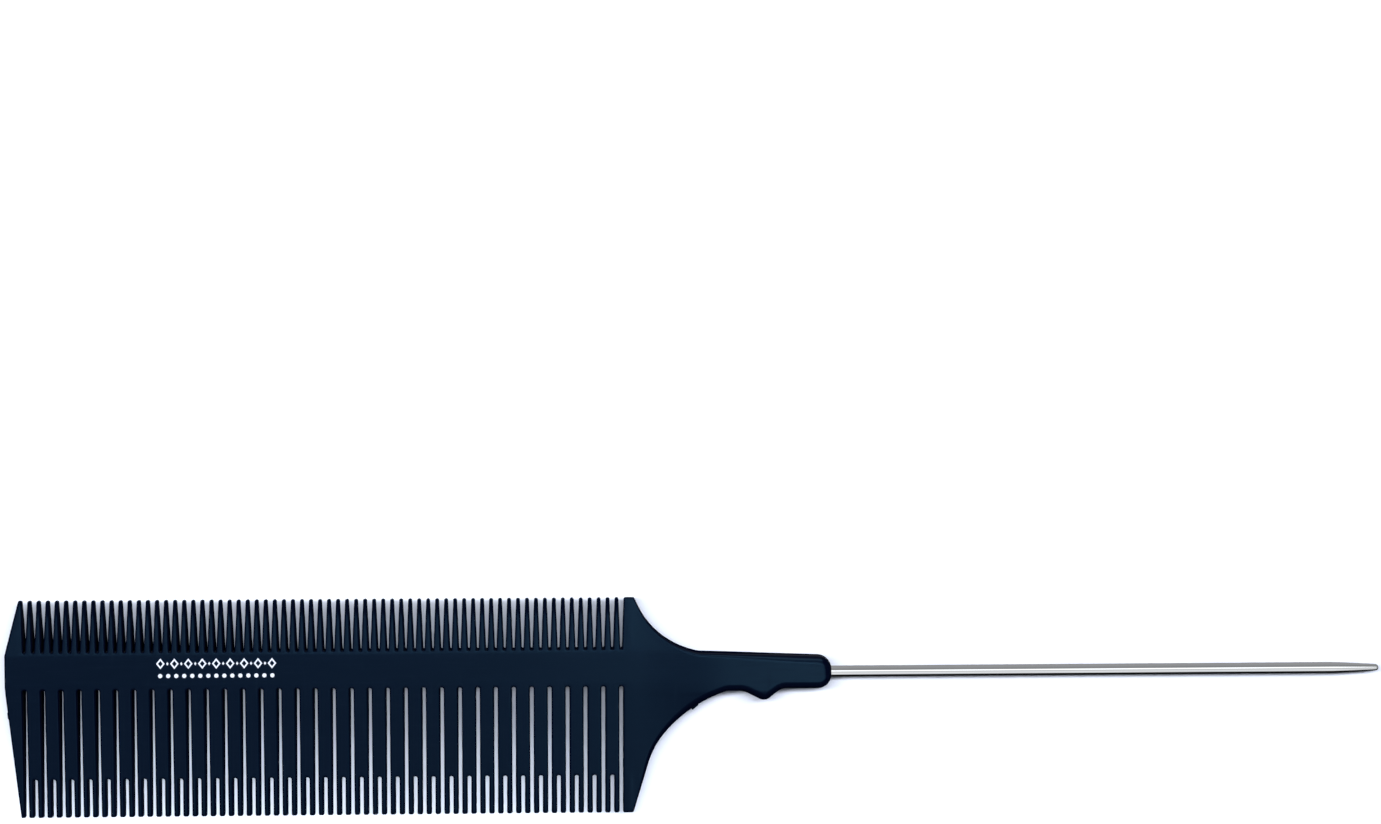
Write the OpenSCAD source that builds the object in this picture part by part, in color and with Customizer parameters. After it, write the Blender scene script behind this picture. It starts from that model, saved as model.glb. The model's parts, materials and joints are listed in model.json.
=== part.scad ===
// Rat tail comb: a moulded double-sided comb with a fine row of teeth on one edge,
// a wide forked row on the other, a short grip, and a straight metal tail moulded into it.
// X runs along the comb with the tail towards +X, Y across it with the fine teeth towards +Y,
// Z through its thickness. The origin is the middle of the bounding box, on its bottom face.
// Name endings: _t thickness, _h height, _w width, _l length, _d diameter, _r radius.

/* [Tooth rows] */
// Distance between the centres of two neighbouring slots, the same in both rows
pitch = 1.5875; // [1.50:0.0125:1.70]
// Number of slots in each row, an odd number so that the wide row starts and ends on a long slot
slots = 67; // [31:2:71]
// Width of the comb from the fine tips to the wide tips
comb_width = 38.55; // [36:0.05:42]
// Depth of the slots between the fine teeth
fine_depth = 9.06; // [7:0.02:9.3]
// Width of a fine slot at its root
fine_slot_root = 0.30; // [0.26:0.02:0.50]
// Width of a fine slot near the tips
fine_slot_tip = 0.90; // [0.60:0.02:0.90]
// Depth of the long slots between the wide teeth
long_depth = 22.85; // [18:0.05:23]
// Depth of the short slots that fork each wide tooth into two prongs
short_depth = 6.87; // [4:0.01:10]
// Width of the wide-row slots at their roots
wide_slot_root = 0.66; // [0.44:0.02:0.70]
// Width of the wide-row slots near the tips
wide_slot_tip = 0.60; // [0.50:0.02:0.80]
// Radius on the corners of the tooth tips
tip_r = 0.33; // [0.20:0.01:0.33]

/* [Spine] */
// Thickness of the flat spine band
spine_t = 3.6; // [3:0.1:4.2]
// Thickness at the fine tips
fine_tip_t = 1.3; // [1:0.1:2]
// Thickness at the wide tips
wide_tip_t = 1.4; // [1:0.1:2]
// Distance from the fine tips to the upper edge of the flat band
band_top = 9.55; // [9.4:0.05:9.9]
// Height of the flat band
band_h = 5.55; // [5.2:0.05:5.8]
// Distance from the last slot on the left to the left end of the comb
end_w = 3.48; // [3.2:0.02:5]

/* [Grip] */
// Distance from the slot nearest the grip to the end of the grip
grip_end = 37.5; // [35:0.1:45]
// Thickness of the grip
grip_t = 4.6; // [4.2:0.1:5.2]
// Radius along the long edges of the grip
grip_edge_r = 1.5; // [0.8:0.1:1.9]
// Height of the finger bump below the grip
bump_h = 2.31; // [1.6:0.01:2.8]

/* [Tail] */
// Diameter of the metal tail
tail_d = 2.0; // [1.8:0.1:2.4]
// Length of tail that stands out of the grip
tail_out = 99; // [70:1:130]
// Length of shank moulded into the grip
tail_in = 21; // [16:1:24]
// Distance across the flats of the hexagonal shank
shank_af = 1.62; // [1.3:0.02:1.7]
// Length of the taper at the tip
taper_l = 8; // [4:1:16]
// Diameter at the start of the tip rounding
tip_d = 1.2; // [0.8:0.1:1.4]

/* [Mark] */
// Length of the printed ornament
mark_l = 21; // [18:0.5:30]
// Distance from the left end of the comb to the middle of the ornament
mark_x = 37; // [30:1:60]
// Thickness of the ink film
ink_t = 0.05; // [0.04:0.01:0.1]

/* [Hidden] */
$fn = 48;

// Working frame: x from the slot nearest the grip, y from the fine tips, z from mid-thickness.
// place() moves it to the final frame.
row_l = (slots - 1) * pitch;
left_x = -row_l - end_w;
wide_y = -comb_width;
band_top_y = -band_top;
band_bottom_y = band_top_y - band_h;
grip_top = -10.58;      // edges of the grip at its end
grip_bottom = -16.42;
axis_y = (grip_top + grip_bottom) / 2;

// Slot mouths, kept narrow enough to leave a flat between the rounded corners of each tip
min_tip_flat = 0.02;
max_mouth = pitch - 2 * tip_r - min_tip_flat;
fine_mouth = min(fine_slot_tip, max_mouth);
wide_mouth = min(wide_slot_tip, max_mouth);

module place()
    translate([-(left_x + grip_end + tail_out) / 2, comb_width / 2, grip_t / 2]) children();

// ---- Outline helpers ----

function unit(v) = v / norm(v);

function reversed(points) = [for (i = [len(points) - 1 : -1 : 0]) points[i]];

function arc(centre, radius, start, end, segments) = [
    for (i = [0 : segments])
        let (angle = start + (end - start) * i / segments)
        centre + radius * [cos(angle), sin(angle)]];

// Turn between two directions, taken the short way round
function short_turn(turn) = turn > 180 ? turn - 360 : turn < -180 ? turn + 360 : turn;

// The corner at point `at`, between its neighbours, rounded to a radius
function corner(before, at, after, radius, segments) =
    let (apex = [at[0], at[1]],
         to_before = unit([before[0], before[1]] - apex),
         to_after = unit([after[0], after[1]] - apex),
         half = acos(to_before * to_after) / 2,
         setback = radius / tan(half),
         centre = apex + unit(to_before + to_after) * (radius / sin(half)),
         from = apex + to_before * setback - centre,
         to = apex + to_after * setback - centre,
         start = atan2(from[1], from[0]),
         turn = short_turn(atan2(to[1], to[0]) - start))
    arc(centre, radius, start, start + turn, segments);

// An open chain of corners [x, y, radius, segments]; the first and last points stay sharp
function chain(points) = [
    for (i = [0 : len(points) - 1])
        let (p = points[i])
        if (i == 0 || i == len(points) - 1 || p[2] == 0) [p[0], p[1]]
        else each corner(points[i - 1], p, points[i + 1], p[2], p[3])];

// ---- Plan of the comb ----

// Point on the rounded tip corner beside a slot; side is +1 on its right and -1 on its left
function tip_point(x, y, dir, side, mouth, angle) = [
    x + side * (mouth / 2 + tip_r - tip_r * sin(angle)),
    y - dir * (tip_r - tip_r * cos(angle))];

// One slot, from its right flank to its left flank. It opens at y towards dir (+1 up, -1 down)
function slot(x, y, dir, depth, root, mouth) =
    let (root_r = root / 2, root_y = y - dir * (depth - root_r))
    concat(
        [for (i = [0 : 3]) tip_point(x, y, dir, 1, mouth, 30 * i)],
        [for (i = [0 : 4]) let (angle = 45 * i)
            [x + root_r * cos(angle), root_y - dir * root_r * sin(angle)]],
        [for (i = [0 : 3]) tip_point(x, y, dir, -1, mouth, 90 - 30 * i)]);

// x just left of the rounded corner beside the last slot
function past_row(mouth) = -row_l - mouth / 2 - tip_r - 0.01;

fine_row = [for (i = [0 : slots - 1])
    each slot(-i * pitch, 0, 1, fine_depth, fine_slot_root, fine_mouth)];

wide_row = reversed([for (i = [0 : slots - 1])
    each slot(-i * pitch, wide_y, -1, i % 2 == 0 ? long_depth : short_depth,
              wide_slot_root, wide_mouth)]);

// Columns of the corner tables: x, y, radius, segments
left_end = chain([
    [past_row(fine_mouth), 0, 0, 0],
    [left_x + 2.33, 0, 0.24, 3],
    [left_x, band_top_y + 0.05, 1.5, 4],
    [left_x, band_bottom_y - 0.4, 2.5, 4],
    [left_x + 2.42, wide_y, 0.24, 3],
    [past_row(wide_mouth), wide_y, 0, 0]]);

// Corners shared by the plan of the comb and the plan of the grip's core
bump_start_x = 18.69;
bump_end = [28.56, -16.37];
neck_top = [13.7, -9.8];
grip_end_corners = [
    [grip_end, grip_bottom, 2.5, 10],
    [grip_end, grip_top, 2.5, 10]];

// From the wide tips, round the neck, bump and grip, to the fine tips
grip_side = chain([
    [1, wide_y, 0, 0],
    [2.2, wide_y, 0.45, 4],
    [5.92, -26.08, 15.8, 10],
    [12.46, -19.3, 25.7, 10],
    [bump_start_x, -16.78, 2.5, 5],
    [21.78, -16.78, 2, 5],
    [25.63, -16.4 - bump_h, 1.7, 8],
    [each bump_end, 1.6, 6],
    each grip_end_corners,
    [each neck_top, 2.6, 3],
    [6.07, -8.1, 15.1, 14],
    [2.3, 0, 0.35, 4],
    [1, 0, 0, 0]]);

module plan() polygon(concat(fine_row, left_end, wide_row, grip_side));

// Section across the comb: a flat band that thins towards both rows of tips
module section() polygon([
    [1, -fine_tip_t / 2], [1, fine_tip_t / 2], [0, fine_tip_t / 2],
    [band_top_y, spine_t / 2], [band_bottom_y, spine_t / 2],
    [wide_y, wide_tip_t / 2], [wide_y - 1, wide_tip_t / 2],
    [wide_y - 1, -wide_tip_t / 2], [wide_y, -wide_tip_t / 2],
    [band_bottom_y, -spine_t / 2], [band_top_y, -spine_t / 2], [0, -fine_tip_t / 2]]);

module comb_plate() intersection() {
    translate([0, 0, -spine_t]) linear_extrude(2 * spine_t) plan();
    translate([left_x - 1, 0, 0]) rotate([90, 0, 90])
        linear_extrude(grip_end - left_x + 2) section();
}

// ---- Thicker core of the grip: a rounded bar cut to its plan and side view ----

module bar_section() {
    bar_h = 6.9;
    bottom = -16.7;
    inset = grip_edge_r;
    translate([bottom + inset, -grip_t / 2]) square([bar_h - 2 * inset, grip_t]);
    translate([bottom, -grip_t / 2 + inset]) square([bar_h, grip_t - 2 * inset]);
    for (y = [bottom + inset, bottom + bar_h - inset], z = [-1, 1])
        translate([y, z * (grip_t / 2 - inset)]) circle(grip_edge_r);
}

// Side view, x and z: ramps out of the spine, starting just below its surface
ramp_start_x = 4;
ramp_end_x = 17;
ramp_start_z = spine_t / 2 - 0.02;
grip_side_view = chain([
    [ramp_start_x, 0, 0, 0],
    [ramp_start_x, -ramp_start_z, 0, 0],
    [ramp_end_x, -grip_t / 2, 20, 4],
    [grip_end, -grip_t / 2, 1.6, 6],
    [grip_end, grip_t / 2, 1.6, 6],
    [ramp_end_x, grip_t / 2, 20, 4],
    [ramp_start_x, ramp_start_z, 0, 0],
    [ramp_start_x, 0, 0, 0]]);

core_x = 3.9;
grip_plan = chain([
    [core_x, -13, 0, 0],
    [core_x, -15.2, 0, 0],
    [bump_start_x, -16.75, 0, 0],
    [each bump_end, 0, 0],
    each grip_end_corners,
    [each neck_top, 0, 0],
    [core_x, -9.7, 0, 0],
    [core_x, -13, 0, 0]]);

module grip_core() intersection() {
    translate([0, 0, -grip_t]) linear_extrude(2 * grip_t) polygon(grip_plan);
    rotate([90, 0, 0]) linear_extrude(30) polygon(grip_side_view);
    translate([3, 0, 0]) rotate([90, 0, 90]) linear_extrude(grip_end) bar_section();
}

// Small stubs left where the moulding gates were cut off, on the left end and under the neck
module gate_stubs() {
    stub_r = 0.42;
    end_stub_t = 0.6;
    neck_stub_t = 0.7;
    neck_stub_l = 1;    // between the centres of its round ends
    translate([left_x + 0.72, -20.3, -end_stub_t / 2]) cylinder(r = stub_r, h = end_stub_t);
    translate([13.03, -19.5, -neck_stub_t / 2]) rotate(34) {
        translate([-neck_stub_l / 2, -stub_r, 0]) cube([neck_stub_l, 0.6, neck_stub_t]);
        for (side = [-1, 1])
            translate([side * neck_stub_l / 2, 0, 0]) cylinder(r = stub_r, h = neck_stub_t);
    }
}

// ---- Tail, built along z from the plane of the grip's end ----

// Rod outside the grip: a straight round length, a taper and a rounded tip
module tail_rod() rotate_extrude() polygon(concat(
    [[0, 0], [tail_d / 2, 0], [tail_d / 2, tail_out - taper_l]],
    arc([0, tail_out - tip_d / 2], tip_d / 2, 8, 90, 8)));

// Shank inside the grip: six flats stop it turning, and waists stop it pulling out
module tail_shank() {
    lands = 5;
    waist_l = 1.4;
    overlap = 1;        // run into the rod
    land_r = min(shank_af, 0.86 * tail_d) / sqrt(3);
    waist_r = land_r - 0.25;
    step = tail_in / lands;
    translate([0, 0, -tail_in]) {
        cylinder(r = waist_r, h = tail_in + overlap, $fn = 6);
        for (i = [0 : lands - 1]) translate([0, 0, i * step])
            cylinder(r = land_r, h = i == lands - 1 ? step + overlap : step - waist_l, $fn = 6);
    }
}

module tail_shape() translate([grip_end, axis_y, 0]) rotate([0, 90, 0]) union() {
    tail_rod();
    tail_shank();
}

// ---- Ornament: open lozenges with small solid ones between, and a row of dots under them ----

module lozenge(width, height)
    polygon([[-width / 2, 0], [0, -height / 2], [width / 2, 0], [0, height / 2]]);

module ornament() {
    open_w = 1.5;
    step = (mark_l - open_w) / 16;
    dot_step = (mark_l - 1.4) / 14;
    for (i = [-8 : 8]) translate([i * step, 0])
        if (i % 2 == 0) difference() {
            lozenge(open_w, 1.88);
            lozenge(0.86, 1.08);
        }
        else lozenge(0.42, 0.62);
    for (i = [-7 : 7]) translate([i * dot_step, -2.16]) circle(0.37, $fn = 24);
}

// ---- Nodes ----

module comb_body() color([0.07, 0.12, 0.16]) place() difference() {
    union() {
        comb_plate();
        grip_core();
        gate_stubs();
    }
    tail_shape();
}

module tail_pin() color([0.78, 0.79, 0.81]) place() tail_shape();

module printed_mark() color([0.93, 0.94, 0.95]) place()
    translate([left_x + mark_x, band_top_y - 1.53, spine_t / 2])
        linear_extrude(ink_t) ornament();

comb_body();
tail_pin();
printed_mark();
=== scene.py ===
"""A double-sided comb with a metal tail, lying flat on white paper.

The comb has its own axes, in mm. x runs along it: 0 at the slot nearest the grip, the other slots
towards -x, the grip and the tail towards +x. y runs across it: 0 at the fine tips, -WIDTH at the
wide tips. z is measured from the middle plane. to_frame() turns these into the frame's metres.
"""
import json
import math
import bpy
import bmesh
import numpy as np
from mathutils import Vector, Matrix

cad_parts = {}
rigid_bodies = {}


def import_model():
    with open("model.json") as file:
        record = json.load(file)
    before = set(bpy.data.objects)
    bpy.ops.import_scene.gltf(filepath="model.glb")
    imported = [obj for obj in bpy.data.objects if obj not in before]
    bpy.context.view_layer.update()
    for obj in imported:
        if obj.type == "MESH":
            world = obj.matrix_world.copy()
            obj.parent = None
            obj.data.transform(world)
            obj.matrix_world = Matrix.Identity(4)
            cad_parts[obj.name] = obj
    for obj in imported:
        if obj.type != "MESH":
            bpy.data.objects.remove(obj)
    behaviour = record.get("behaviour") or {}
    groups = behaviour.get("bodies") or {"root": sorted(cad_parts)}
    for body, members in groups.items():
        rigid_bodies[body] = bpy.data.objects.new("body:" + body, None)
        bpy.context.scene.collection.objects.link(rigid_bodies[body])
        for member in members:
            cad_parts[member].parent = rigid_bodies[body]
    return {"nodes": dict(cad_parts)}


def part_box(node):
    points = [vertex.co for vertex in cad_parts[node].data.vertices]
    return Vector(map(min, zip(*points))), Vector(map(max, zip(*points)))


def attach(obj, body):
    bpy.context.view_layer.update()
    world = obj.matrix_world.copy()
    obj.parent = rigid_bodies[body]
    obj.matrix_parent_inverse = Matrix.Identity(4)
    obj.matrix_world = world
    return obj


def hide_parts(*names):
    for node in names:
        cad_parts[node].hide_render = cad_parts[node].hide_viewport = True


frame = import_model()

for startup in list(bpy.data.objects):
    if startup.name in ("Cube", "Light", "Camera"):
        bpy.data.objects.remove(startup)
bpy.context.view_layer.update()

# ---------------------------------------------------------------- sizes of the comb (mm)
PITCH, SLOTS, WIDTH = 1.5875, 67, 38.55
END_WIDTH = 3.48                                  # from the last slot's middle to the -x end
LEFT = -(SLOTS - 1) * PITCH - END_WIDTH
GRIP_END, AXIS_Y = 37.5, -13.5                    # +x end of the grip, centre line of the tail
SPINE_T, GRIP_T, FINE_T, WIDE_T = 3.6, 4.6, 1.3, 1.4      # full thicknesses
RIDGE_FINE, RIDGE_WIDE = -9.55, -15.10            # where the spine starts to slope to each row
RIDGE_ROUNDING = 0.12
CROWN = 0.05                                      # extra height of the teeth near their tips
TIP_R = 0.33                                      # plan radius beside each slot's mouth
EDGE_FINE, EDGE_WIDE = 0.26, 0.28                 # rounding between wall and face
END_EDGE_EXTRA = 0.12                             # more rounding in the middle of the -x end
DRAFT = 0.03
EDGE_ANGLES = [0.0, 22.5, 45.0, 67.5, 90.0]

# Seams between the slot blocks and the two end guards
GUARD_X = 1.3
LEFT_SEAM, LEFT_SEAM_FINE, LEFT_SEAM_WIDE = -106.6, -105.55, -105.495

body_low, body_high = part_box("comb_body")
pin_low, pin_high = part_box("tail_pin")
ORIGIN_X = body_low[0] * 1000.0 - LEFT
ORIGIN_Y = (body_low[1] + body_high[1]) * 500.0 + WIDTH / 2
ORIGIN_Z = (pin_low[2] + pin_high[2]) * 500.0


def to_frame(point):
    return ((point[0] + ORIGIN_X) / 1000.0, (point[1] + ORIGIN_Y) / 1000.0,
            (point[2] + ORIGIN_Z) / 1000.0)


def smooth(start, end, value):
    """Ease from 0 at start to 1 at end."""
    t = min(1.0, max(0.0, (value - start) / (end - start)))
    return t * t * (3 - 2 * t)


def spread(start, end, steps):
    return [start + (end - start) * k / steps for k in range(steps + 1)]


# ---------------------------------------------------------------- plan outlines
def fillet(before, corner, after, radius, steps):
    """Points of the arc that rounds a corner between two straight runs."""
    before, corner, after = (np.array(p[:2], float) for p in (before, corner, after))
    to_before = (before - corner) / np.linalg.norm(before - corner)
    to_after = (after - corner) / np.linalg.norm(after - corner)
    half_angle = math.acos(max(-1, min(1, float(to_before @ to_after)))) / 2
    setback = radius / math.tan(half_angle)
    bisector = (to_before + to_after) / np.linalg.norm(to_before + to_after)
    centre = corner + bisector * (radius / math.sin(half_angle))
    start, end = corner + to_before * setback, corner + to_after * setback
    first = math.atan2(*(start - centre)[::-1])
    last = math.atan2(*(end - centre)[::-1])
    sweep = (last - first + math.pi) % (2 * math.pi) - math.pi
    return [(centre[0] + radius * math.cos(first + sweep * i / steps),
             centre[1] + radius * math.sin(first + sweep * i / steps)) for i in range(steps + 1)]


class Path:
    """A polyline sampled by arc length. Corners are (x, y, 0) or (x, y, fillet radius, steps)."""

    def __init__(self, corners):
        points = []
        for i, corner in enumerate(corners):
            if i in (0, len(corners) - 1) or corner[2] == 0:
                points.append((corner[0], corner[1]))
            else:
                points += fillet(corners[i - 1], corner, corners[i + 1], corner[2], corner[3])
        self.points = np.array(points)
        runs = np.linalg.norm(np.diff(self.points, axis=0), axis=1)
        self.arcs = np.concatenate([[0], np.cumsum(runs)])
        self.length = self.arcs[-1]

    def at(self, arc):
        return np.array([np.interp(arc, self.arcs, self.points[:, 0]),
                         np.interp(arc, self.arcs, self.points[:, 1])])

    def normal(self, arc, side, reach=0.05):
        """Unit normal; side is 1 for the left of the direction of travel, -1 for the right."""
        start, end = self.at(max(0, arc - reach)), self.at(min(self.length, arc + reach))
        along = (end - start) / np.linalg.norm(end - start)
        return np.array([-along[1], along[0]]) * side

    def arc_at_x(self, x):
        """Arc length at x, on a path that runs towards +x."""
        i = int(np.searchsorted(self.points[:, 0], x))
        i = max(1, min(len(self.points) - 1, i))
        start, end = self.points[i - 1], self.points[i]
        t = 0 if end[0] == start[0] else (x - start[0]) / (end[0] - start[0])
        return self.arcs[i - 1] + t * (self.arcs[i] - self.arcs[i - 1])

    def arc_at_y(self, y, low, high):
        """Arc length between low and high where the path comes nearest to y."""
        samples = np.linspace(low, high, 4000)
        heights = np.interp(samples, self.arcs, self.points[:, 1])
        return samples[int(np.argmin(np.abs(heights - y)))]


# ---------------------------------------------------------------- thickness of the moulding
def soft_excess(distance):
    """The distance where positive, 0 where negative, with a rounded bend between."""
    return 0.5 * (distance + math.sqrt(distance ** 2 + RIDGE_ROUNDING * RIDGE_ROUNDING))


def half_thickness(x, y):
    """Height of the top surface over the middle plane."""
    past_fine = soft_excess(y - RIDGE_FINE)
    past_wide = soft_excess(RIDGE_WIDE - y)
    plate = (SPINE_T / 2 - past_fine * (SPINE_T - FINE_T) / 2 / -RIDGE_FINE
             - past_wide * (SPINE_T - WIDE_T) / 2 / (WIDTH + RIDGE_WIDE))
    grip = GRIP_T / 2 - 0.10 * max(0.0, -16.6 - y)       # falls away on the -y side
    grip_share = smooth(3.5, 19.0, x)
    return plate * (1 - grip_share) + grip * grip_share


def crown(y):
    return CROWN * smooth(-9.2, -7.0, y) + CROWN * (1 - smooth(-33.5, -31.2, y))


def face_point(x, y):
    return (x, y, half_thickness(x, y) + crown(y))


def edge_column(point, inward, radius):
    """From the parting line up the drafted wall and round the edge onto the face."""
    column = [(point[0], point[1], 0.0)]
    for degrees in EDGE_ANGLES:
        angle = math.radians(degrees)
        inset = DRAFT + radius * (1 - math.cos(angle))
        x, y = point[0] + inward[0] * inset, point[1] + inward[1] * inset
        column.append((x, y, half_thickness(x, y) - radius * (1 - math.sin(angle))))
    return column


class Skin:
    """Quads of the upper half and their mirror image; corners in one place share a vertex."""

    def __init__(self):
        self.ids, self.points, self.faces = {}, [], []

    def vertex(self, point):
        key = (round(point[0], 3), round(point[1], 3), round(point[2], 3))
        if key not in self.ids:
            self.ids[key] = len(self.points)
            self.points.append(tuple(float(value) for value in point))
        return self.ids[key]

    def quad(self, *corners):
        for sign in (1, -1):
            face = [self.vertex((p[0], p[1], sign * p[2])) for p in corners]
            face = [vertex for i, vertex in enumerate(face) if vertex != face[i - 1]]
            if len(set(face)) >= 3:
                self.faces.append(face if sign > 0 else face[::-1])

    def grid(self, rows):
        for row, following in zip(rows[:-1], rows[1:]):
            for i in range(len(row) - 1):
                self.quad(row[i], row[i + 1], following[i + 1], following[i])


skin = Skin()

# ---------------------------------------------------------------- teeth and spine
PITCH_STEPS = 6                                   # grid columns per slot pitch
TIP_STEPS, FINE_STEPS, PRONG_STEPS, LONG_STEPS = 4, 7, 5, 11
TIP_STATIONS = [0.45, 0.50, 0.57, 0.66, 0.77, 0.90]      # distances behind a tooth tip
SHORT_BASE_Y = -31.1                              # where the blocks of the short slots end
FLANK_BEND_Y = SHORT_BASE_Y - 0.5                 # change of step along a long slot's flank

# y stations along the tooth centre lines and across the spine
FINE_Y = ([-t for t in TIP_STATIONS]
          + spread(-TIP_STATIONS[-1], RIDGE_FINE, FINE_STEPS)[1:])
PRONG_Y = ([-WIDTH + t for t in TIP_STATIONS]
           + spread(-WIDTH + TIP_STATIONS[-1], SHORT_BASE_Y, PRONG_STEPS)[1:])
BETWEEN_Y = spread(SHORT_BASE_Y, RIDGE_WIDE, LONG_STEPS)
LONG_Y = PRONG_Y + BETWEEN_Y[1:]
SPINE_Y = [RIDGE_FINE, -9.75, -10.2, -11.3, -12.4, -13.5, -14.4, -14.9, RIDGE_WIDE]
ALL_Y = FINE_Y + SPINE_Y[1:] + LONG_Y[::-1][1:]

# facing is 1 where the slot opens towards +y, -1 where it opens towards -y
FINE_SLOT = dict(facing=1, depth=9.06, root_width=0.30, mouth_width=0.90, edge=EDGE_FINE,
                 stations=FINE_Y)
WIDE_SLOT = dict(facing=-1, root_width=0.66, mouth_width=0.60, edge=EDGE_WIDE)
LONG_SLOT = dict(WIDE_SLOT, depth=22.85, stations=LONG_Y)
SHORT_SLOT = dict(WIDE_SLOT, depth=6.87, stations=PRONG_Y)
BASE_FINE, BASE_LONG, BASE_SHORT = RIDGE_FINE, RIDGE_WIDE, SHORT_BASE_Y


def left_seam_x(y):
    """The seam inside the -x end guard, between the last slot and the outline."""
    if y > RIDGE_FINE:
        return LEFT_SEAM + (LEFT_SEAM_FINE - LEFT_SEAM) * (y - RIDGE_FINE) / (0 - RIDGE_FINE)
    if y < RIDGE_WIDE:
        return LEFT_SEAM + (LEFT_SEAM_WIDE - LEFT_SEAM) * (RIDGE_WIDE - y) / (WIDTH + RIDGE_WIDE)
    return LEFT_SEAM


def tooth_centre(index, side, y):
    """x of the tooth centre line, or guard seam, on the +x (1) or -x (-1) side of a slot."""
    if side > 0:
        return GUARD_X if index == 0 else -index * PITCH + PITCH / 2
    return left_seam_x(y) if index == SLOTS - 1 else -index * PITCH - PITCH / 2


def slot_block(index, base_y, facing, depth, root_width, mouth_width, edge, stations):
    """The surface between a slot's outline and the centre lines of the teeth beside it."""
    slot_x = -index * PITCH
    tip_y = 0.0 if facing > 0 else -WIDTH
    root_r, mouth_half = root_width / 2, mouth_width / 2
    root_y = tip_y - facing * (depth - root_r)
    shoulder_y = tip_y - facing * TIP_R
    tip_count = len(TIP_STATIONS)
    if stations is LONG_Y:
        flank_ys = (spread(shoulder_y, FLANK_BEND_Y, PRONG_STEPS)[1:]
                    + spread(FLANK_BEND_Y, root_y, LONG_STEPS)[1:])
    else:
        flank_ys = spread(shoulder_y, root_y, len(stations) - tip_count)[1:]

    def half_outline(side):
        """Entries of (outline point, direction into the material, centre line point)."""
        entries = [((tooth_centre(index, side, tip_y), tip_y), (0.0, float(-facing)))]
        centre_x = slot_x + side * (mouth_half + TIP_R)
        for k in range(TIP_STEPS + 1):
            angle = math.radians(90 * k / TIP_STEPS)
            x = centre_x - side * TIP_R * math.sin(angle)
            y = shoulder_y + facing * TIP_R * math.cos(angle)
            entries.append(((x, y), ((centre_x - x) / TIP_R, (shoulder_y - y) / TIP_R)))
        run_x, run_y = side * (root_r - mouth_half), root_y - shoulder_y
        inward_x = abs(run_y) / math.hypot(run_x, run_y) * side
        inward = (inward_x, -run_x * inward_x / run_y)
        for y in flank_ys:
            t = (y - shoulder_y) / (root_y - shoulder_y)
            x = slot_x + side * (mouth_half + (root_r - mouth_half) * t)
            entries.append(((x, y), inward))
        return [(point, inward, (tooth_centre(index, side, y), y))
                for (point, inward), y in zip(entries, stations)]

    root = []
    for k in range(PITCH_STEPS + 1):
        angle = math.pi * k / PITCH_STEPS
        point = (slot_x + root_r * math.cos(angle), root_y - facing * root_r * math.sin(angle))
        t = k / PITCH_STEPS
        base_x = (tooth_centre(index, 1, base_y) * (1 - t)
                  + tooth_centre(index, -1, base_y) * t)
        root.append((point, (math.cos(angle), -facing * math.sin(angle)), (base_x, base_y)))
    outline = half_outline(1)[:-1] + root + half_outline(-1)[:-1][::-1]
    skin.grid([edge_column(point, inward, edge) + [face_point(*centre)]
               for point, inward, centre in outline])


def plain_block(index, ys):
    """Uncut surface across one slot pitch."""
    skin.grid([[face_point(x, y) for x in spread(tooth_centre(index, 1, y),
                                                 tooth_centre(index, -1, y), PITCH_STEPS)]
               for y in ys])


for index in range(SLOTS):
    slot_block(index, BASE_FINE, **FINE_SLOT)
    if index % 2 == 0:
        slot_block(index, BASE_LONG, **LONG_SLOT)
    else:
        slot_block(index, BASE_SHORT, **SHORT_SLOT)
        plain_block(index, BETWEEN_Y)
    plain_block(index, SPINE_Y)


# ---------------------------------------------------------------- guard at the -x end
CORNER_STEPS = 8
LEFT_OUTLINE = [                                  # x, y, fillet radius, steps
    (LEFT_SEAM_FINE, 0, 0), (LEFT + 2.33, 0, 0.24, CORNER_STEPS),
    (LEFT, RIDGE_FINE + 0.05, 1.5, 10), (LEFT, RIDGE_WIDE - 0.4, 2.5, 10),
    (LEFT + 2.42, -WIDTH, 0.24, CORNER_STEPS), (LEFT_SEAM_WIDE, -WIDTH, 0)]


def left_edge_radius(y):
    if y < RIDGE_WIDE:
        return EDGE_WIDE + (EDGE_FINE + END_EDGE_EXTRA - EDGE_WIDE) * smooth(
            -WIDTH + 2, RIDGE_WIDE - 3, y)
    return EDGE_FINE + END_EDGE_EXTRA * smooth(0, -8, y)


def build_left_end():
    path = Path(LEFT_OUTLINE)
    fine_start, fine_end = path.arcs[1], path.arcs[1 + CORNER_STEPS]
    wide_start, wide_end = path.arcs[-2 - CORNER_STEPS], path.arcs[-2]
    tip_count = len(TIP_STATIONS)
    arcs = ([0.0] + spread(fine_start, fine_end, TIP_STEPS)
            + [path.arc_at_y(y, fine_end, wide_start) for y in ALL_Y[tip_count:-tip_count]]
            + spread(wide_start, wide_end, TIP_STEPS) + [path.length])
    columns = []
    for y, arc in zip(ALL_Y, arcs):
        point = path.at(arc)
        if arc in (0.0, path.length):
            inward = (0.0, -1.0 if arc == 0.0 else 1.0)
        else:
            inward = path.normal(arc, 1)
        columns.append(edge_column(point, inward, left_edge_radius(point[1]))
                       + [face_point(left_seam_x(y), y)])
    skin.grid(columns)


build_left_end()

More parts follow.
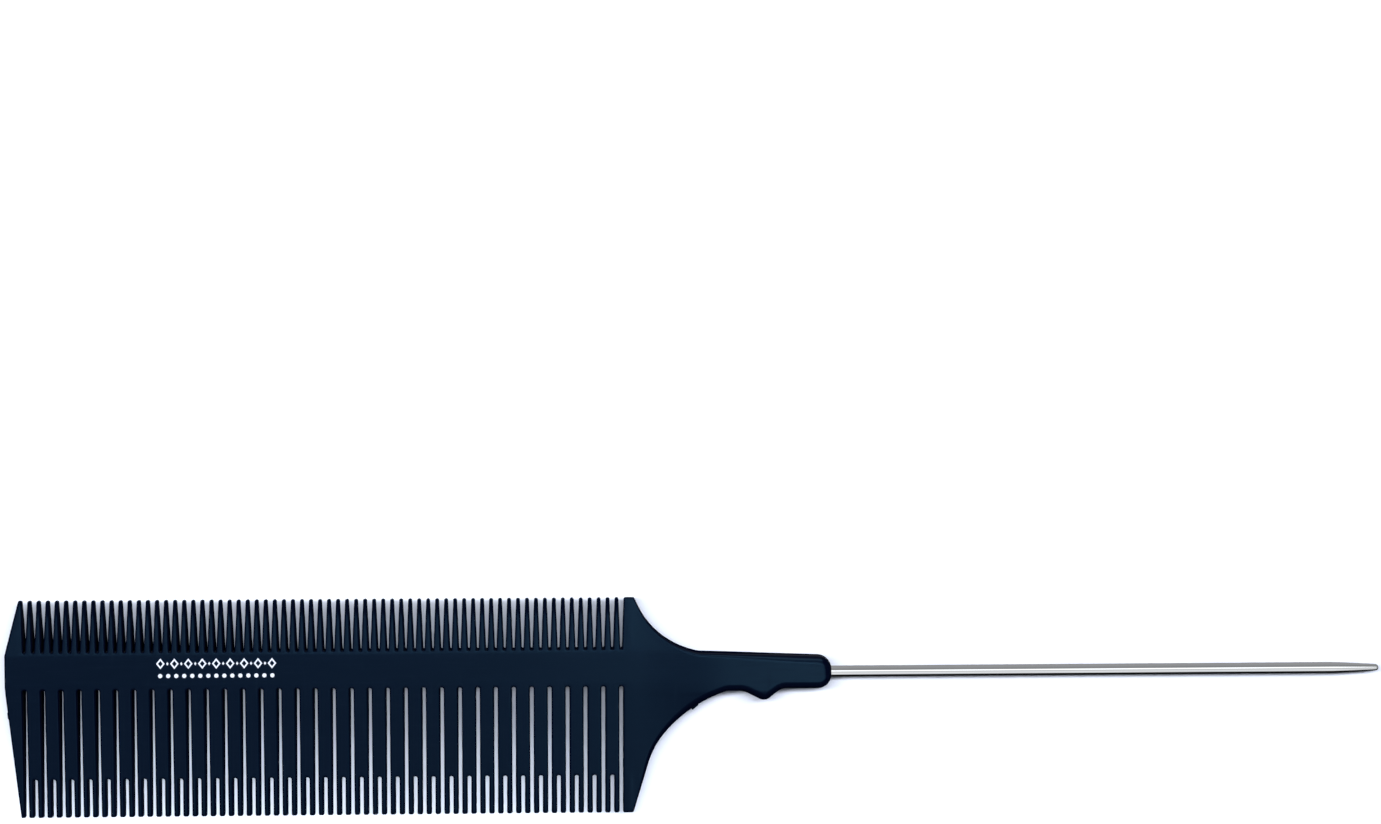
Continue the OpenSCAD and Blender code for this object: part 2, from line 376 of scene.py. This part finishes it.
# ---------------------------------------------------------------- neck and grip
FINE_SIDE_OUTLINE = [                             # +y side: x, y, fillet radius, steps
    (GUARD_X, 0, 0), (2.3, 0, 0.35, 8), (6.07, -8.1, 15.1, 28), (13.7, -9.8, 2.6, 6),
    (GRIP_END, -10.58, 2.5, 20), (GRIP_END, AXIS_Y, 0)]
WIDE_SIDE_OUTLINE = [                             # -y side: x, y, fillet radius, steps
    (GUARD_X, -WIDTH, 0), (2.2, -WIDTH, 0.45, 8), (5.92, -26.08, 15.8, 20),
    (12.46, -19.3, 25.7, 20), (18.69, -16.78, 2.5, 10), (21.78, -16.78, 3.2, 10),
    (25.63, -18.75, 1.6, 14), (28.46, -16.37, 2.4, 10), (GRIP_END, -16.42, 2.5, 20),
    (GRIP_END, AXIS_Y, 0)]
NECK_X = [GUARD_X, 1.6, 1.85, 1.98, 2.09, 2.18, 2.26, 2.34, 2.43, 2.54, 2.68, 2.85]
GRIP_RUNS = ((5.0, 0.2), (8.0, 0.27), (12.0, 0.38), (20.6, 0.5), (30.0, 0.4),
             (35.2, 0.6))                         # x to reach, step
LAST_X = [35.6, 36.0, 36.35, 36.6, 36.768]


def grip_stations():
    xs = list(NECK_X)
    for stop, step in GRIP_RUNS:
        while xs[-1] < stop - 1e-6:
            xs.append(xs[-1] + step)
    return [x for x in xs if x < 35.3] + LAST_X


def grip_edge_radius(x, fine_side):
    if fine_side:
        return (EDGE_FINE + 0.16 * smooth(2.2, 6, x) + 0.12 * smooth(8, 14, x)
                + 0.96 * smooth(9, 37, x))
    return EDGE_WIDE + 0.45 * smooth(2.4, 6, x) + 0.52 * smooth(5, 14, x)


def side_columns(path, xs, fine_side):
    """Edge columns along one side of the neck and grip."""
    side = -1 if fine_side else 1
    columns = []
    for k, x in enumerate(xs):
        arc = path.arc_at_x(x)
        point = path.at(arc)
        inward = (0.0, float(side)) if k == 0 else path.normal(arc, side)
        columns.append(edge_column(point, inward, grip_edge_radius(point[0], fine_side)))
    return columns


def end_columns(fine_path, wide_path, fine_columns, wide_columns, last_x, steps):
    """Edge columns round the +x end of the grip, from its +y side to its -y side."""
    fine_arc = fine_path.arc_at_x(last_x)
    fine_length = fine_path.length - fine_arc
    wide_length = wide_path.length - wide_path.arc_at_x(last_x)
    fine_radius = grip_edge_radius(last_x, True)
    wide_radius = grip_edge_radius(last_x, False)
    columns = [fine_columns[-1]]
    for k in range(1, steps):
        travel = (fine_length + wide_length) * k / steps
        if travel <= fine_length:
            path, arc, side = fine_path, fine_arc + travel, -1
        else:
            path, arc, side = wide_path, wide_path.length - (travel - fine_length), 1
        inward = path.normal(min(arc, path.length - 0.06), side)
        radius = fine_radius + (wide_radius - fine_radius) * smooth(0, 1, k / steps)
        columns.append(edge_column(path.at(arc), inward, radius))
    return columns + [wide_columns[-1]]


def y_shares(side):
    """How far across, from 0 to 1, each point of a side lies."""
    return [(point[1] - side[0][1]) / (side[-1][1] - side[0][1]) for point in side]


def build_grip():
    """Strips round the outline, then a grid between their inner lines."""
    xs = grip_stations()
    fine_path, wide_path = Path(FINE_SIDE_OUTLINE), Path(WIDE_SIDE_OUTLINE)
    fine_columns = side_columns(fine_path, xs, True)
    wide_columns = side_columns(wide_path, xs, False)
    left = ([fine_columns[0][-1]] + [face_point(GUARD_X, y) for y in ALL_Y]
            + [wide_columns[0][-1]])
    last_row, last_column = len(left) - 1, len(xs) - 1
    cap = end_columns(fine_path, wide_path, fine_columns, wide_columns, xs[-1], last_row)
    for columns in (fine_columns, wide_columns, cap):
        skin.grid(columns)

    top, bottom, right = ([column[-1] for column in columns]
                          for columns in (fine_columns, wide_columns, cap))
    left_shares, right_shares = y_shares(left), y_shares(right)

    def inner_point(row, column):
        station = xs[column]
        blend = smooth(GUARD_X, 30, station)
        share = left_shares[row] * (1 - blend) + right_shares[row] * blend
        y = top[column][1] * (1 - share) + bottom[column][1] * share
        x = top[column][0] * (1 - share) + bottom[column][0] * share
        # follow the rounded end over the last stations
        bulge = right[row][0] - (right[0][0] * (1 - share) + right[-1][0] * share)
        x += bulge * smooth(34.0, xs[-1], station)
        return (x, y, half_thickness(x, y) + crown(y) * (1 - smooth(GUARD_X, 3.0, station)))

    rows = [top]
    for row in range(1, last_row):
        rows.append([left[row]] + [inner_point(row, column) for column in range(1, last_column)]
                    + [right[row]])
    skin.grid(rows + [bottom])


build_grip()


# ---------------------------------------------------------------- mesh helpers
def link_object(name, mesh):
    made = bpy.data.objects.new(name, mesh)
    bpy.context.scene.collection.objects.link(made)
    return made


def mesh_object(name, points, faces):
    mesh = bpy.data.meshes.new(name)
    mesh.from_pydata([to_frame(p) for p in points], [], faces)
    bm = bmesh.new()
    bm.from_mesh(mesh)
    bmesh.ops.remove_doubles(bm, verts=bm.verts, dist=2e-7)
    bmesh.ops.recalc_face_normals(bm, faces=bm.faces)
    bm.to_mesh(mesh)
    bm.free()
    made = link_object(name, mesh)
    mesh.shade_smooth()
    return made


def revolved(name, profile, sides):
    """Closed solid turned about the tail's axis from (x, radius) points, both ends on the axis."""
    points, faces, rings = [], [], []
    for x, radius in profile:
        if radius < 1e-9:
            rings.append([len(points)])
            points.append((x, AXIS_Y, 0.0))
        else:
            rings.append(list(range(len(points), len(points) + sides)))
            points += [(x, AXIS_Y + radius * math.cos(2 * math.pi * k / sides),
                        radius * math.sin(2 * math.pi * k / sides)) for k in range(sides)]
    for ring, following in zip(rings[:-1], rings[1:]):
        for k in range(sides):
            after = (k + 1) % sides
            if len(ring) == 1:
                faces.append([ring[0], following[after], following[k]])
            elif len(following) == 1:
                faces.append([ring[k], ring[after], following[0]])
            else:
                faces.append([ring[k], ring[after], following[after], following[k]])
    return mesh_object(name, points, faces)


def boolean(target, tool, operation):
    """Apply a boolean to the target's mesh and remove the tool."""
    modifier = target.modifiers.new("cut", "BOOLEAN")
    modifier.operation, modifier.solver, modifier.object = operation, "MANIFOLD", tool
    depsgraph = bpy.context.evaluated_depsgraph_get()
    mesh = bpy.data.meshes.new_from_object(target.evaluated_get(depsgraph))
    target.modifiers.clear()
    old = target.data
    target.data = mesh
    bpy.data.meshes.remove(old)
    bpy.data.objects.remove(tool)


# ---------------------------------------------------------------- socket, gates and finished comb
HEX_R = 1.62 / math.sqrt(3)                       # corner radius of a hexagon 1.62 across flats
WAIST_DEPTH, WAIST_LENGTH, WAISTS = 0.25, 1.4, 4
TAIL_DEPTH = 21.0                                 # buried length of the tail
SHANK_END = GRIP_END - 0.5
MOUTH_START, MOUTH_R = GRIP_END - 0.9, 1.012
ROUND_SIDES = 64


def shank_profile(extra):
    """Six-sided shank with waists, grown by extra on every surface but its +x end."""
    radius, waist = HEX_R + extra, HEX_R - WAIST_DEPTH + extra
    start, step = GRIP_END - TAIL_DEPTH, TAIL_DEPTH / (WAISTS + 1)
    profile = [(start - extra, 0), (start - extra, radius)]
    for i in range(WAISTS):
        x = start + i * step + step - WAIST_LENGTH
        profile += [(x + extra, radius), (x + extra, waist),
                    (x + WAIST_LENGTH - extra, waist), (x + WAIST_LENGTH - extra, radius)]
    return profile + [(SHANK_END, radius), (SHANK_END, 0)]


def gate_stub(name, centre, size, angle, rounding):
    """A cut gate: a small rounded block, turned in plan, with slightly wavy faces."""
    bm = bmesh.new()
    bmesh.ops.create_cube(bm, size=1.0)
    for vertex in bm.verts:
        vertex.co = Vector([value * scale for value, scale in zip(vertex.co, size)])
    bmesh.ops.bevel(bm, geom=list(bm.edges), offset=rounding, segments=3, profile=0.5,
                    affect="EDGES", clamp_overlap=True)
    bmesh.ops.rotate(bm, verts=bm.verts, cent=(0, 0, 0),
                     matrix=Matrix.Rotation(math.radians(angle), 3, "Z"))
    for vertex in bm.verts:
        x, y, z = vertex.co
        wave = 0.04 * math.sin(7.3 * x + 3.1 * z) * math.cos(5.7 * z + 2.0 * x)
        vertex.co = Vector(to_frame((x + centre[0] + wave, y + centre[1] + wave, z + centre[2])))
    mesh = bpy.data.meshes.new(name)
    bm.to_mesh(mesh)
    bm.free()
    return link_object(name, mesh)


def build_comb():
    comb = mesh_object("comb_moulding", skin.points, skin.faces)
    boolean(comb, revolved("socket_hex", shank_profile(extra=0.0), sides=6), "DIFFERENCE")
    mouth = [(MOUTH_START, 0), (MOUTH_START, MOUTH_R), (GRIP_END + 3, MOUTH_R), (GRIP_END + 3, 0)]
    boolean(comb, revolved("socket_mouth", mouth, ROUND_SIDES), "DIFFERENCE")
    boolean(comb, gate_stub("gate_a", centre=(13.04, -19.46, 0.0), size=(1.55, 0.72, 1.3),
                            angle=41, rounding=0.16), "UNION")
    boolean(comb, gate_stub("gate_b", centre=(LEFT + 0.50, -20.3, 0.0), size=(0.52, 1.15, 1.1),
                            angle=6, rounding=0.10), "UNION")
    bm = bmesh.new()
    bm.from_mesh(comb.data)
    bmesh.ops.remove_doubles(bm, verts=bm.verts, dist=2e-7)
    bmesh.ops.dissolve_verts(bm, verts=[v for v in bm.verts if len(v.link_edges) == 2])
    bm.to_mesh(comb.data)
    bm.free()
    comb.data.shade_smooth()
    comb.data.set_sharp_from_angle(angle=math.radians(38))
    weighted = comb.modifiers.new("weighted", "WEIGHTED_NORMAL")
    weighted.keep_sharp, weighted.weight = True, 60
    return comb


comb = build_comb()
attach(comb, "root")
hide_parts("comb_body")

# ---------------------------------------------------------------- metal tail
TAIL_END = pin_high[0] * 1000 - ORIGIN_X
TAIL_R, TIP_END_R = 1.0, 0.60
TAIL_START, TAIL_CHAMFER = GRIP_END - 0.88, 0.04
TAPER_LENGTH, TAPER_POWER, TAPER_STEPS = 9.0, 1.35, 18
TIP_END_STEPS = 10
SHANK_CLEARANCE = 0.006


def tail_profile():
    profile = [(TAIL_START, 0.0), (TAIL_START, TAIL_R - TAIL_CHAMFER),
               (TAIL_START + TAIL_CHAMFER, TAIL_R)]
    profile += [(GRIP_END + x, TAIL_R) for x in (0, 0.5, 12, 30, 50, 70, 85, 89)]
    for k in range(TAPER_STEPS + 1):                     # a slow swell into the taper
        t = k / TAPER_STEPS
        profile.append((TAIL_END - TAPER_LENGTH + (TAPER_LENGTH - TIP_END_R) * t,
                        TAIL_R - (TAIL_R - TIP_END_R) * (t ** TAPER_POWER)))
    for k in range(1, TIP_END_STEPS + 1):                # round tip
        angle = math.radians(90 * k / TIP_END_STEPS)
        profile.append((TAIL_END - TIP_END_R + TIP_END_R * math.sin(angle),
                        TIP_END_R * math.cos(angle) if k < TIP_END_STEPS else 0.0))
    return profile


tail = revolved("metal_tail", tail_profile(), ROUND_SIDES)
boolean(tail, revolved("shank_hex", shank_profile(extra=-SHANK_CLEARANCE), sides=6), "UNION")
tail.data.shade_smooth()
tail.data.set_sharp_from_angle(angle=math.radians(35))
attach(tail, "root")
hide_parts("tail_pin")


# ---------------------------------------------------------------- shader helpers
class NodeTree:
    """Adds shader nodes. An input is a value or another node's output."""

    def __init__(self, owner):
        owner.use_nodes = True
        self.tree = owner.node_tree
        self.tree.nodes.clear()

    def feed(self, node, inputs):
        for key, value in inputs.items():
            socket = node.inputs[key]
            if isinstance(value, bpy.types.NodeSocket):
                self.tree.links.new(value, socket)
            elif socket.type == "RGBA":
                socket.default_value = (*value, 1)
            else:
                socket.default_value = value

    def add(self, kind, inputs=None, **settings):
        node = self.tree.nodes.new("ShaderNode" + kind)
        for name, value in settings.items():
            setattr(node, name, value)
        self.feed(node, inputs or {})
        return node

    def stretch(self, vector, scale):
        return self.add("Mapping", {"Scale": scale, "Vector": vector}).outputs[0]

    def noise(self, vector, scale, detail=3.0, roughness=0.5, distortion=0.0):
        return self.add("TexNoise", {"Scale": scale, "Detail": detail, "Roughness": roughness,
                                     "Distortion": distortion, "Vector": vector}).outputs["Fac"]

    def ramp(self, value, stops):
        """Ramp over (position, brightness or colour) stops."""
        node = self.add("ValToRGB", {0: value})
        elements = node.color_ramp.elements
        while len(elements) < len(stops):
            elements.new(0.5)
        for element, (position, colour) in zip(elements, stops):
            if isinstance(colour, (int, float)):
                colour = (colour, colour, colour)
            element.position, element.color = position, (*colour, 1)
        return node.outputs[0]

    def map_range(self, value, low, high, **settings):
        return self.add("MapRange", {"From Min": low, "From Max": high, 0: value},
                        **settings).outputs[0]

    def math(self, operation, *operands, clamp=False):
        return self.add("Math", dict(enumerate(operands)), operation=operation,
                        use_clamp=clamp).outputs[0]

    def plus(self, first, second, clamp=False):
        return self.math("ADD", first, second, clamp=clamp)

    def times(self, first, second):
        return self.math("MULTIPLY", first, second)

    def mix(self, factor, first, second, blend="MIX"):
        return self.add("Mix", {0: factor, 6: first, 7: second}, data_type="RGBA",
                        blend_type=blend).outputs[2]

    def mix_shader(self, factor, first, second):
        return self.add("MixShader", {0: factor, 1: first, 2: second}).outputs[0]

    def bump(self, height, strength, distance, normal=None):
        inputs = {"Strength": strength, "Distance": distance, "Height": height}
        if normal is not None:
            inputs["Normal"] = normal
        return self.add("Bump", inputs).outputs[0]


class Material(NodeTree):
    """A material with a Principled shader; place is the object coordinate, in metres."""

    def __init__(self, name):
        self.material = bpy.data.materials.new(name)
        super().__init__(self.material)
        self.principled = self.add("BsdfPrincipled")
        self.output = self.add("OutputMaterial", {"Surface": self.principled.outputs[0]})
        self.place = self.add("TexCoord").outputs["Object"]

    def surface(self, inputs):
        self.feed(self.principled, inputs)


# ---------------------------------------------------------------- materials
def resin_specular(m, geometry):
    """Specular level, from the viewing angle and the direction the surface faces; it paints shade
    and sheen into the gloss.
    """
    facing = m.add("LayerWeight", {"Blend": 0.5}).outputs["Facing"]
    normal = m.add("SeparateXYZ", {0: geometry.outputs["Normal"]})
    steep_x = m.math("ABSOLUTE", normal.outputs[0], 0)
    flat = m.math("ABSOLUTE", normal.outputs[2], 0)
    # share of the gloss kept, painted shade: surfaces tilted towards x or y are duller, steep
    # walls keep it all
    gloss_share_painted_shade = m.ramp(m.plus(m.times(normal.outputs[1], 0.5), 0.5),
                  [(0.33, 0.12), (0.43, 0.35), (0.47, 1.0), (0.80, 1.0), (0.88, 0.30)])
    gloss_share_painted_shade = m.times(gloss_share_painted_shade, m.ramp(steep_x, [(0.18, 1.0), (0.27, 0.08)]))
    gloss_share_painted_shade = m.math("MAXIMUM", gloss_share_painted_shade, m.ramp(flat, [(0.25, 1.0), (0.45, 0.0)]))
    # gloss by viewing angle, everywhere and on the flat faces: painted shade on grazing rims,
    # painted sheen on flat faces seen at a slant
    rim_gloss_painted_shade = m.ramp(facing, [(0.45, 0.15), (0.70, 0.03), (0.80, 0.0)])
    painted_sheen_on_flats = m.times(m.ramp(flat, [(0.80, 0.0), (0.95, 1.0)]),
                       m.ramp(facing, [(0.15, 0.15), (0.55, 0.50), (0.78, 0.40), (0.95, 0.10)]))
    return m.times(m.math("MAXIMUM", rim_gloss_painted_shade, painted_sheen_on_flats), gloss_share_painted_shade)


def carbon_resin():
    m = Material("carbon_resin")
    # faint flow marks along the moulding, broad blotches, mould grain about 0.2 mm, finer grain
    flow = m.noise(m.stretch(m.place, (60, 160, 160)), scale=1.0, detail=4, roughness=0.55,
                   distortion=0.6)
    blotch = m.noise(m.place, scale=38.0)
    grain = m.noise(m.place, scale=5200.0, detail=2, roughness=0.6)
    fine = m.noise(m.place, scale=14000.0, detail=2)
    # sparse scratches, long in x and long in y
    scratch_x = m.ramp(m.noise(m.stretch(m.place, (90, 4200, 900)), scale=1.0, detail=2,
                               distortion=0.25), [(0.60, 0.0), (0.66, 1.0)])
    scratch_y = m.ramp(m.noise(m.stretch(m.place, (1900, 130, 500)), scale=1.0, detail=2,
                               distortion=0.4), [(0.64, 0.0), (0.70, 1.0)])
    geometry = m.add("NewGeometry")
    edge = m.ramp(geometry.outputs["Pointiness"], [(0.505, 0.0), (0.56, 1.0)])

    # near-black blue, lifted by each layer in turn
    colour = m.mix(flow, (0.0003, 0.0008, 0.0045), (0.0007, 0.0016, 0.0065))
    for amount, tint in ((m.times(blotch, 0.30), (0.0012, 0.0022, 0.0072)),
                         (m.times(edge, 0.10), (0.0020, 0.0035, 0.0090)),
                         (m.times(m.plus(scratch_x, scratch_y), 0.06), (0.006, 0.010, 0.016))):
        colour = m.mix(amount, colour, tint)

    # base roughness 0.24, raised by grain, blotches and scratches
    roughness = m.plus(m.times(grain, 0.08), 0.24)
    roughness = m.plus(roughness, m.times(blotch, 0.06))
    roughness = m.plus(roughness, m.times(m.plus(scratch_x, scratch_y), 0.10), clamp=True)

    normal = m.bump(grain, strength=0.18, distance=0.00002)
    normal = m.bump(fine, strength=0.10, distance=0.00001, normal=normal)
    normal = m.bump(m.plus(scratch_x, scratch_y), strength=0.10, distance=0.00001, normal=normal)
    normal = m.bump(flow, strength=0.10, distance=0.0002, normal=normal)
    m.surface({"Base Color": colour, "Roughness": roughness, "IOR": 1.5, "Normal": normal,
               "Specular IOR Level": resin_specular(m, geometry),
               "Specular Tint": (0.24, 0.64, 1.0)})
    return m.material


def polished_steel():
    m = Material("polished_steel")
    # drawing lines along the rod, grinding marks round its tip, broad smears
    drawn = m.noise(m.stretch(m.place, (60, 9000, 9000)), scale=1.0, roughness=0.6)
    rings = m.noise(m.stretch(m.place, (14000, 60, 60)), scale=1.0, detail=2)
    smear = m.noise(m.place, scale=70.0)
    at_tip = m.map_range(m.add("SeparateXYZ", {0: m.place}).outputs[0],
                         low=(TAIL_END - 10 + ORIGIN_X) / 1000,
                         high=(TAIL_END - 7 + ORIGIN_X) / 1000)
    # base roughness 0.03, raised by the lines, the smears and the ground tip
    roughness = m.plus(m.times(drawn, 0.04), 0.03)
    roughness = m.plus(roughness, m.times(smear, 0.04))
    roughness = m.plus(roughness, m.times(at_tip, 0.06))
    m.surface({"Base Color": m.mix(smear, (0.70, 0.71, 0.73), (0.80, 0.81, 0.82)),
               "Metallic": 1.0, "Roughness": roughness,
               "Normal": m.bump(m.mix(at_tip, drawn, rings), strength=0.10, distance=0.000008)})
    return m.material


def pad_ink():
    m = Material("pad_ink")
    grain = m.noise(m.place, scale=9000.0, roughness=0.6)
    patch = m.noise(m.place, scale=900.0)
    colour = m.mix(grain, (0.72, 0.75, 0.79), (0.88, 0.90, 0.92))
    # thin, darker patches
    colour = m.mix(m.times(m.ramp(patch, [(0.60, 0.0), (0.72, 1.0)]), 0.35), colour,
                   (0.45, 0.50, 0.56))
    m.surface({"Base Color": colour, "Roughness": m.plus(m.times(grain, 0.2), 0.42),
               "Normal": m.bump(grain, strength=0.2, distance=0.00001)})
    return m.material


PAPER_FAR = (1.0, 1.0, 1.0)


def paper():
    m = Material("paper")
    m.surface({"Base Color": m.mix(m.noise(m.place, scale=300.0), (0.90, 0.905, 0.915),
                                   (0.92, 0.925, 0.93)),
               "Roughness": 0.85, "Specular IOR Level": 0.10})
    rays = m.add("LightPath")
    # far from the comb the camera sees evenly bright paper
    distance = m.add("VectorMath", {0: m.place}, operation="LENGTH").outputs["Value"]
    sweep = m.map_range(distance, low=0.14, high=0.25, interpolation_type="SMOOTHSTEP")
    glow = m.add("Emission", {"Color": PAPER_FAR})
    seen = m.mix_shader(m.times(sweep, rays.outputs["Is Camera Ray"]),
                        m.principled.outputs[0], glow.outputs[0])
    # painted reflection: in reflections the paper is replaced by a glow, grey towards +Y for lit
    # paper and dark towards -Y for paper in shade
    incoming = m.add("SeparateXYZ", {0: m.add("NewGeometry").outputs["Incoming"]})
    brightness = m.ramp(m.plus(m.times(incoming.outputs[1], -0.5), 0.5),
                        [(0.30, 0.008), (0.50, 0.05), (0.62, 0.36), (1.0, 0.38)])
    painted_reflection_glow = m.add("Emission", {"Color": brightness})
    m.feed(m.output, {"Surface": m.mix_shader(rays.outputs["Is Glossy Ray"], seen,
                                              painted_reflection_glow.outputs[0])})
    return m.material


def give(target, material):
    target.data.materials.clear()
    target.data.materials.append(material)


give(comb, carbon_resin())
give(tail, polished_steel())
mark = frame["nodes"]["printed_mark"]
if len(mark.material_slots) == 0:
    mark.data.materials.append(None)
mark_ink = bpy.data.materials.get("pad_ink") or pad_ink()
for slot in mark.material_slots:
    slot.material = mark_ink

# ---------------------------------------------------------------- floor and lights (metres)
bpy.ops.mesh.primitive_grid_add(x_subdivisions=4, y_subdivisions=4, size=8.0,
                                location=(0, 0, -0.00004))
floor = bpy.context.object
floor.name = "studio_floor"
give(floor, paper())


def area(name, place, target, size, size_y, power, color=(1, 1, 1), glossy=True, only=None,
         spread_angle=180):
    """Rectangular lamp aimed at target; only names the one object it lights."""
    data = bpy.data.lights.new(name, "AREA")
    data.shape, data.spread = "RECTANGLE", math.radians(spread_angle)
    data.size, data.size_y = size, size_y
    data.energy, data.color = power, color
    lamp = link_object(name, data)
    lamp.location = place
    aim = Vector(target) - Vector(place)
    lamp.rotation_euler = aim.to_track_quat("-Z", "Y").to_euler()
    lamp.visible_glossy, lamp.visible_camera = glossy, False
    if only is not None:
        receivers = bpy.data.collections.new(name + "_lights")
        receivers.objects.link(only)
        lamp.light_linking.receiver_collection = receivers


KEY_DISTANCE, KEY_ANGLE = 0.95, math.radians(16.5)
KEY_BRIGHTNESS, PAPER_ALBEDO = 1.86, 0.91         # brightness 1 would light the floor to white
area("key", place=(-0.05, KEY_DISTANCE * math.sin(KEY_ANGLE), KEY_DISTANCE * math.cos(KEY_ANGLE)),
     target=(-0.02, 0, 0), size=1.90, size_y=0.18, color=(0.86, 0.91, 1.06), glossy=False,
     power=KEY_BRIGHTNESS * math.pi * math.pi * KEY_DISTANCE * KEY_DISTANCE / PAPER_ALBEDO)
# low strips on the -Y and +Y sides of the teeth, which reach the paper under the tips
STRIP = dict(size=0.112, color=(0.82, 0.93, 1.11), glossy=False, only=floor, spread_angle=70)
area("front_strip", place=(-0.070, -0.050, 0.0045), target=(-0.070, -0.019, 0), size_y=0.004,
     power=0.040, **STRIP)
area("back_strip", place=(-0.070, 0.050, 0.0028), target=(-0.070, 0.019, 0), size_y=0.003,
     power=0.013, **STRIP)
# soft boxes for the resin's own sheen
area("sheen", place=(0.17, -0.133, 0.90), target=(0.01, 0.005, 0), size=0.16, size_y=0.16,
     power=0.85, only=comb)
area("brow", place=(0.10, 0.29, 0.90), target=(0.0, 0.01, 0), size=0.70, size_y=0.15,
     power=2.2, only=comb)
area("bevel", place=(0.12, 0.62, 0.26), target=(0.02, 0.0, 0), size=0.60, size_y=0.25,
     power=2.2, only=comb)

# ---------------------------------------------------------------- world
# Light tent in reflections: (degrees from straight up towards +Y, brightness)
TENT = [(-180, 0.01), (-70, 0.01), (-66, 0.80), (-50, 0.95), (-26, 0.95), (-15, 0.72),
        (-1, 0.72), (5, 1.75), (20, 1.75), (27, 0.42), (35, 0.31), (60, 0.31), (75, 0.38),
        (180, 0.38)]
# The tent dims towards its ends: (absolute X of the direction, share of brightness)
TENT_ENDS = [(0.0, 1.0), (0.36, 1.0), (0.50, 0.60), (0.80, 0.50), (1.0, 0.45)]


def build_world():
    world = bpy.data.worlds.new("studio")
    bpy.context.scene.world = world
    w = NodeTree(world)
    direction = w.add("SeparateXYZ", {0: w.add("TexCoord").outputs["Generated"]})
    angle = w.math("ARCTAN2", direction.outputs[1], direction.outputs[2])
    around = w.ramp(w.map_range(angle, low=-math.pi, high=math.pi),
                    [((degrees + 180) / 360, (value * 0.97, value * 0.99, value))
                     for degrees, value in TENT])
    along = w.ramp(w.math("ABSOLUTE", direction.outputs[0]), TENT_ENDS)

    def background(color, strength=1.0):
        return w.add("Background", {"Color": color, "Strength": strength}).outputs[0]

    tent = background(w.mix(1.0, around, along, blend="MULTIPLY"))
    fill = background((0.82, 0.92, 1.08), strength=0.12)
    rays = w.add("LightPath")
    lighting = w.mix_shader(rays.outputs["Is Glossy Ray"], fill, tent)
    w.add("OutputWorld", {"Surface": w.mix_shader(rays.outputs["Is Camera Ray"], lighting,
                                                  background(PAPER_FAR))})


build_world()

# ---------------------------------------------------------------- camera and output
scene = bpy.context.scene
scene.view_settings.view_transform = "Standard"
scene.view_settings.look = "None"

camera_data = bpy.data.cameras.new("camera")
camera_data.sensor_width = 36.0
camera_data.lens = 67.776973
camera_data.clip_start, camera_data.clip_end = 0.01, 50.0
camera = link_object("camera", camera_data)
camera.location = to_frame((-8.35, 57.2, 459.65))
camera.rotation_euler = [math.radians(degrees) for degrees in (-3.021, -2.584, -0.022)]
scene.camera = camera

bpy.context.view_layer.update()
